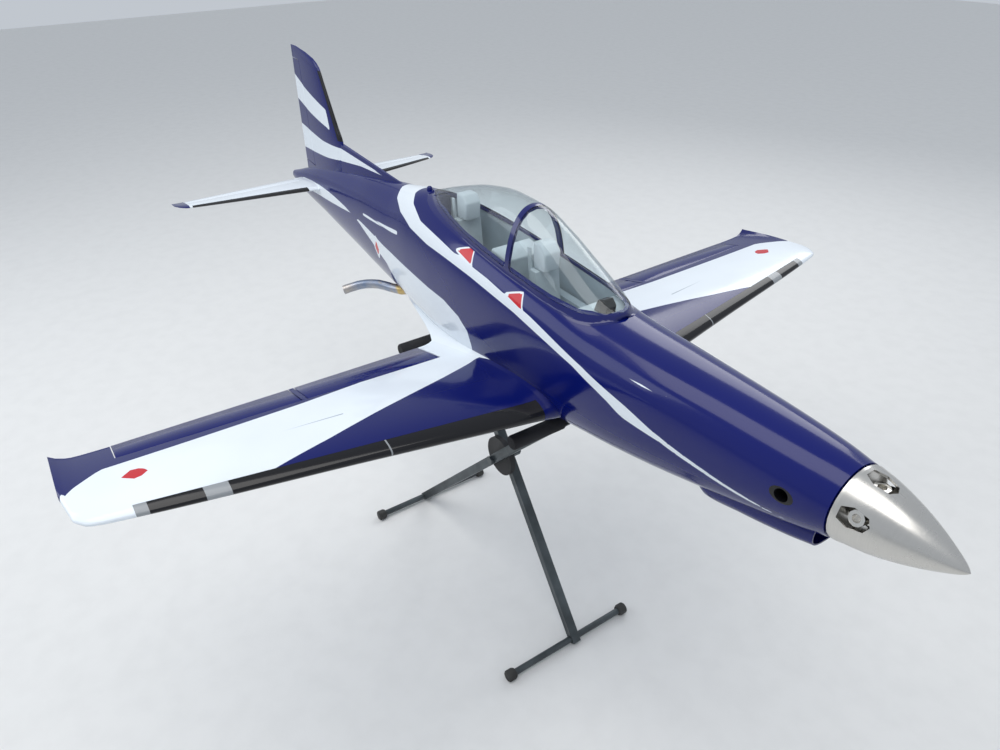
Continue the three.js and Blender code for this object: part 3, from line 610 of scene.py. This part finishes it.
glass = open_loft("canopy_pane", [canopy_ring(x) for x in stops(CANOPY, 8)])
spot = own_coordinates(glass)
sill = np.array([skin_top(x, y) + SILL - z for x, y, z in spot])
arch = ARCH_HALF - np.abs(spot[:, 0] - ARCH_X)
paint(glass, "frame", np.maximum(sill, arch))
thick = glass.modifiers.new("thickness", "SOLIDIFY")
thick.thickness = PANE_THICKNESS
thick.offset = -1
give(glass, clear)
place(glass, "canopy", "canopy_clear", "canopy_glass")


# ---- spinner ----
def spinner_rings(grow=0.0, back=0.0, far=174):
    rings = []
    for d in [0.6, 2, 4, 7, 11, 16, 23, 30, 40, 50, 60, 70, 80, 90, 100, 110, 120, 130, 140, 150, 160, far]:
        _, radius = smooth_row(SPINNER, min(d, 174))
        radius = max(radius + grow, 0.8)
        ring = []
        for i in range(96):
            a = 2 * math.pi * i / 96
            ring.append((-d - back, radius * math.cos(a), radius * math.sin(a)))
        rings.append(ring)
    return rings


cone = loft("spinner_shell", spinner_rings())
carve(cone, loft("tool", spinner_rings(-3, 6, 180)))
SLOT = [(-168, -10), (-168, 10), (-151, 17), (-128, 12), (-122, 0), (-128, -12), (-151, -17)]
for k in range(BLADES):
    turn = 2 * math.pi * k / BLADES
    c, s = math.cos(turn), math.sin(turn)
    rings = []
    for z in (32, 92):
        ring = []
        for x, y in SLOT:
            ring.append((x, y * c - z * s, y * s + z * c))
        rings.append(ring)
    carve(cone, loft("tool", rings))
give(split_edges(cone, 40), satin)
place(cone, "spinner", "spinner_satin", "spinner_cone")


# ---- lifting surfaces ----
def half_thickness(f):
    return 5 * (0.2969 * math.sqrt(f) - 0.126 * f - 0.3516 * f**2 + 0.2843 * f**3 - 0.1036 * f**4)


CHORD = [0.5 + 0.5 * math.cos(math.pi * i / 36) for i in range(37)]


def section(chord, ratio):
    over = [(f, max(half_thickness(f) * ratio * chord, 0.7) if f > 0 else 0) for f in CHORD]
    under = [(f, -max(half_thickness(f) * ratio * chord, 0.7)) for f in reversed(CHORD[:-1])]
    return over + under


def panel(name, table, side, step):
    rings = []
    for y in stops(table, step):
        _, le_x, le_z, te_x, te_z, ratio = smooth_row(table, y)
        ring = []
        for f, offset in section(le_x - te_x, ratio):
            ring.append((le_x + f * (te_x - le_x), side * y, le_z + f * (te_z - le_z) + offset))
        rings.append(ring)
    return loft(name, rings)


def hinge_line(table, y, hinge):
    _, le_x, le_z, te_x, te_z, ratio = smooth_row(table, y)
    radius = half_thickness(hinge) * ratio * (le_x - te_x) - 0.4
    return le_x + hinge * (te_x - le_x), le_z + hinge * (te_z - le_z), radius, te_x, te_z


def cove(table, span, hinge, side):
    rings = []
    for y in (span[0] - 2, span[1] + 2):
        x, z, radius, te_x, te_z = hinge_line(table, y, hinge)
        ring = []
        for i in range(17):
            a = math.pi / 2 - math.pi * i / 16
            reach = radius + COVE_GAP
            ring.append((x + reach * math.cos(a), side * y, z + reach * math.sin(a)))
        ring += [(te_x - 30, side * y, te_z - 60), (te_x - 30, side * y, te_z + 60)]
        rings.append(ring)
    return loft("tool", rings)


def edge_zone(table, span, fraction, side, gap):
    rings = []
    for y in (span[0] - gap, span[1] + gap):
        _, le_x, le_z, te_x, _, _ = smooth_row(table, y)
        back = le_x + fraction * (te_x - le_x) - gap
        rings.append([
            (back, side * y, le_z - 60), (le_x + 30, side * y, le_z - 60),
            (le_x + 30, side * y, le_z + 60), (back, side * y, le_z + 60),
        ])
    return loft("tool", rings)


# Paint regions on the wing, as x and distance out from the middle
WING_NAVY_FRONT = [
    (-700, 60), (-1074, 110), (-1038, 222), (-987, 408), (-948, 537), (-915, 675), (-860, 690), (-700, 600),
]
WING_NAVY_BACK = [
    (-1400, 130), (-1184, 160), (-1173, 253), (-1144, 527), (-1136, 743), (-1129, 933), (-1085, 985),
    (-1040, 1020), (-1300, 1040),
]
WING_LINE = [(-1046, 655), (-1042, 655), (-1022, 470), (-1027, 470)]

for side, label in ((-1, "right"), (1, "left")):
    wing = panel("wing_skin_" + label, WING, side, 14)
    carve(wing, cove(WING, FLAP_SPAN, WING_HINGE, side))
    carve(wing, cove(WING, AILERON_SPAN, WING_HINGE, side))
    carve(wing, edge_zone(WING, WING_BOOT_SPAN, WING_BOOT_CHORD, side, GAP))
    spot = own_coordinates(wing)
    plan = np.stack([spot[:, 0], np.abs(spot[:, 1])], 1)
    mid_z = np.array([smooth_row(WING, y)[2] for y in plan[:, 1]])
    above = np.clip((spot[:, 2] - mid_z + 26) * 6, -50, 0)
    paint(wing, "navy", nearest_of(plan, [WING_NAVY_FRONT, WING_NAVY_BACK]) + above)
    paint(wing, "line", signed(plan, WING_LINE) + above)
    paint(wing, "red", signed(plan, diamond(-1064, 880, 26)) + above)
    give(split_edges(wing, 40), wing_paint)
    place(wing, "airframe", "white_gloss", "wing_" + label)

    front = edge_zone(WING, WING_BOOT_SPAN, WING_BOOT_CHORD, side, 0)
    strip = carve(panel("wing_edge_" + label, WING, side, 14), front, "INTERSECT")
    out_at = np.abs(own_coordinates(strip)[:, 1])
    bands = np.max([wide - np.abs(out_at - at) for at, wide in ((767, 22), (448, 3), (895, 12))], axis=0)
    paint(strip, "band", bands)
    give(split_edges(strip, 40), boot_banded)
    place(strip, "airframe", "boot_black", "wing_boot_" + label)

    tail = panel("tail_skin_" + label, TAIL, side, 12)
    carve(tail, cove(TAIL, ELEVATOR_SPAN, TAIL_HINGE, side))
    carve(tail, edge_zone(TAIL, TAIL_BOOT_SPAN, TAIL_BOOT_CHORD, side, GAP))
    spot = own_coordinates(tail)
    paint(tail, "navy", np.abs(spot[:, 1]) - 438)
    give(split_edges(tail, 40), tail_paint)
    place(tail, "airframe", "white_gloss", "tailplane_" + label)

    front = edge_zone(TAIL, TAIL_BOOT_SPAN, TAIL_BOOT_CHORD, side, 0)
    strip = carve(panel("tail_edge_" + label, TAIL, side, 12), front, "INTERSECT")
    give(split_edges(strip, 40), boot)
    place(strip, "airframe", "boot_black", "tail_boot_" + label)


# ---- fin ----
def fin_blade(name):
    rings = []
    for z in stops(FIN, 10):
        _, le_x, te_x, ratio = smooth_row(FIN, z)
        rings.append([(le_x + f * (te_x - le_x), offset, z) for f, offset in section(le_x - te_x, ratio)])
    return loft(name, rings)


def fin_at(z):
    _, le_x, te_x, ratio = smooth_row(FIN, z)
    t = (z - RUDDER_SPAN[0]) / (RUDDER_SPAN[1] - RUDDER_SPAN[0])
    x = -2240 - 26 * t
    radius = half_thickness((le_x - x) / (le_x - te_x)) * ratio * (le_x - te_x) - 0.4
    return x, radius, te_x, le_x


def fin_zone(gap):
    rings = []
    for z in (FIN_BOOT_SPAN[0] - gap, FIN_BOOT_SPAN[1] + gap):
        _, _, te_x, le_x = fin_at(z)
        back = le_x + FIN_BOOT_CHORD * (te_x - le_x) - gap
        rings.append([(back, -30, z), (le_x + 30, -30, z), (le_x + 30, 30, z), (back, 30, z)])
    return loft("tool", rings)


def rudder_cove():
    rings = []
    for z in (RUDDER_SPAN[0] - 2, RUDDER_SPAN[1] + 2):
        x, radius, te_x, _ = fin_at(z)
        ring = []
        for i in range(17):
            a = math.pi / 2 - math.pi * i / 16
            reach = radius + COVE_GAP
            ring.append((x + reach * math.cos(a), reach * math.sin(a), z))
        rings.append(ring + [(te_x - 30, -60, z), (te_x - 30, 60, z)])
    return loft("tool", rings)


def dorsal_ridge():
    rings = []
    for x in stops(DORSAL, 8):
        _, ridge, narrow, wide = smooth_row(DORSAL, x)
        base = smooth_row(FUSELAGE, x)[1] - 12
        flank = [(narrow + (wide - narrow) * k / 8, ridge + (base - ridge) * k / 8) for k in range(9)]
        ring = [(x, -y, z) for y, z in flank] + [(x, y, z) for y, z in reversed(flank)]
        rings.append(ring)
    return loft("tool", rings)


# Paint regions on the fin and rudder, as x and height
FIN_BANDS = [
    [
        (-2345, 296), (-2241, 261), (-2113, 230), (-2080, 222),
        (-2060, 160), (-2075, 167), (-2214, 188), (-2345, 217),
    ],
    [
        (-2345, 133), (-2130, 117), (-1996, 119), (-1702, 106),
        (-1866, 98), (-2100, 69), (-2345, 50),
    ],
]
tail_fin = carve(fin_blade("fin_skin"), dorsal_ridge(), "UNION")
carve(tail_fin, rudder_cove())
carve(tail_fin, fin_zone(GAP))
spot = own_coordinates(tail_fin)
paint(tail_fin, "white", nearest_of(spot[:, [0, 2]], FIN_BANDS))
give(split_edges(tail_fin, 40), fin_paint)
place(tail_fin, "airframe", "navy_gloss", "fin")
strip = carve(fin_blade("fin_edge"), fin_zone(0), "INTERSECT")
give(split_edges(strip, 40), boot)
place(strip, "airframe", "boot_black", "fin_boot")

rings = []
for k in range(34):
    z = RUDDER_SPAN[0] + (RUDDER_SPAN[1] - RUDDER_SPAN[0]) * k / 33
    x, radius, te_x, _ = fin_at(z)
    ring = []
    for i in range(17):
        a = math.pi / 2 - math.pi * i / 16
        ring.append((x + radius * math.cos(a), radius * math.sin(a), z))
    for i in range(1, 13):
        t = i / 12
        ring.append((x + (te_x - x) * t, -radius + (radius - 0.6) * t, z))
    for i in range(12, 0, -1):
        t = i / 12
        ring.append((x + (te_x - x) * t, radius - (radius - 0.6) * t, z))
    rings.append(ring)
rudder = loft("rudder_skin", rings)
spot = own_coordinates(rudder)
paint(rudder, "white", nearest_of(spot[:, [0, 2]], FIN_BANDS))
give(split_edges(rudder, 40), fin_paint)
place(rudder, "rudder", "navy_gloss", "rudder")


# ---- foam sleeves ----
def foam_sleeve(node, body_name):
    low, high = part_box(node)
    radius = (high.x - low.x) / 2
    middle = (low + high) / 2
    length = high.y - low.y
    wobble = np.random.default_rng(len(node) * 7 + int(abs(middle.x) * 1000))
    bulge = wobble.normal(0, 0.00012, (60, 40))
    points, faces = [], []
    for j in range(60):
        t = j / 59
        end = min(t, 1 - t) * length
        round_off = radius - 0.0022 * max(0.0, 1 - end / 0.004) ** 2
        for i in range(40):
            a = 2 * math.pi * i / 40
            r = round_off - abs(bulge[j, i])
            points.append((middle.x + r * math.cos(a), low.y + t * length, middle.z + r * math.sin(a)))
    for j in range(59):
        for i in range(40):
            a, b = j * 40 + i, j * 40 + (i + 1) % 40
            faces.append((a, b, b + 40, a + 40))
    faces += [tuple(range(40)), tuple(reversed(range(59 * 40, 60 * 40)))]
    mesh = bpy.data.meshes.new(node + "_soft")
    mesh.from_pydata(points, [], faces)
    mesh.polygons.foreach_set("use_smooth", [True] * len(mesh.polygons))
    made = bpy.data.objects.new(node + "_soft", mesh)
    bpy.context.scene.collection.objects.link(made)
    give(split_edges(made, 50), foam)
    place(made, body_name, "bar_foam", node)


for end, body_name in (("front", "far_frame"), ("rear", "stand_frame")):
    for label in ("right", "left"):
        foam_sleeve(end + "_foam_" + label, body_name)


# ---- CAD nodes that keep their own shape ----
def keep(names, material, bevel=0.0):
    for name in names.split():
        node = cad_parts[name]
        custom = node.data.attributes.get("custom_normal")
        if custom:
            node.data.attributes.remove(custom)
        give(node, material)
        weld = node.modifiers.new("weld", "WELD")
        weld.merge_threshold = 2e-5
        if bevel:
            edge = node.modifiers.new("round", "BEVEL")
            edge.width = bevel
            edge.segments = 3
            edge.limit_method = "ANGLE"
            edge.angle_limit = math.radians(35)
        node.data.polygons.foreach_set("use_smooth", [True] * len(node.data.polygons))
        split_edges(node, 35)


keep("canopy_frame antenna_dome", navy)
keep("flap_right flap_left aileron_right aileron_left", navy, 0.0004)
keep("elevator_right elevator_left", white, 0.0003)
keep("cockpit_tub", interior)
keep("console_right console_left", interior, 0.003)
keep("front_seat rear_seat", pale, 0.0015)
keep("front_coaming", pale)
keep("rear_coaming", pale, 0.004)
keep("front_headbox rear_headbox", headbox_white, 0.005)
keep("sight_unit", smoke, 0.0025)
keep("spinner_backplate turbine_engine", satin)
keep("propeller_hub", polished)
keep("firewall", ply)
keep("fuel_tank", tank_white, 0.008)
keep("wing_joiner", carbon)
keep("exhaust_pipe_right exhaust_pipe_left", tinted)
keep("near_leg far_leg", steel, 0.0016)
keep("drive_shaft near_foot_bar far_foot_bar front_top_bar rear_top_bar pivot_bolt", steel)
keep("clutch_disc", clutch_black)
keep("near_foot_cap_right near_foot_cap_left far_foot_cap_right far_foot_cap_left", rubber, 0.0012)


# ---- surroundings ----
def flat_sheet(name, half, height, material):
    mesh = bpy.data.meshes.new(name)
    corners = [(-half, -half, height), (half, -half, height), (half, half, height), (-half, half, height)]
    mesh.from_pydata(corners, [], [(0, 1, 2, 3)])
    made = bpy.data.objects.new(name, mesh)
    bpy.context.scene.collection.objects.link(made)
    give(made, material)


floor_pale = plain("floor_pale", (0.8, 0.8, 0.79), (0.6, 0.75), grain=40, depth=0.05, worn=0.97)
flat_sheet("floor", 14, 0, floor_pale)

world = bpy.data.worlds.new("studio")
bpy.context.scene.world = world
world.use_nodes = True
bpy.context.scene.view_settings.view_transform = "Standard"
world.node_tree.nodes["Background"].inputs["Color"].default_value = (0.86, 0.92, 1, 1)
world.node_tree.nodes["Background"].inputs["Strength"].default_value = 0.62


def lamp(name, place_at, target, size, power, colour):
    data = bpy.data.lights.new(name, "AREA")
    data.shape = "RECTANGLE"
    data.size, data.size_y = size
    data.energy = power
    data.color = colour
    made = bpy.data.objects.new(name, data)
    made.location = place_at
    made.rotation_euler = (Vector(target) - Vector(place_at)).to_track_quat("-Z", "Y").to_euler()
    bpy.context.scene.collection.objects.link(made)


lamp("key", (0.3, -1.2, 4.4), (0, 0, 0.9), (4.5, 2.4), 90, (1, 0.98, 0.95))
lamp("fill", (-2.6, -3.2, 2.6), (0, 0, 0.9), (2.6, 2.0), 30, (0.92, 0.96, 1))
lamp("rim", (-1.5, 3.4, 3.2), (0, 0, 1), (3.0, 1.6), 40, (1, 1, 1))

# The camera's place and axes in the row frame
CAMERA_AT = (1.49764, -0.93148, 1.79606)
LENS, SENSOR = 27.72, 36
RIGHT = Vector((0.56132, 0.82745, -0.01563))
UP = Vector((-0.43566, 0.31149, 0.8445))
FORWARD = Vector((-0.70365, 0.46722, -0.53533))
camera = bpy.data.objects.new("camera", bpy.data.cameras.new("camera"))
camera.data.sensor_width = SENSOR
camera.data.lens = LENS
camera.data.clip_end = 100
aim = Matrix((RIGHT, UP, -FORWARD)).transposed().to_4x4()
camera.matrix_world = Matrix.Translation(CAMERA_AT) @ aim
bpy.context.scene.collection.objects.link(camera)
bpy.context.scene.camera = camera
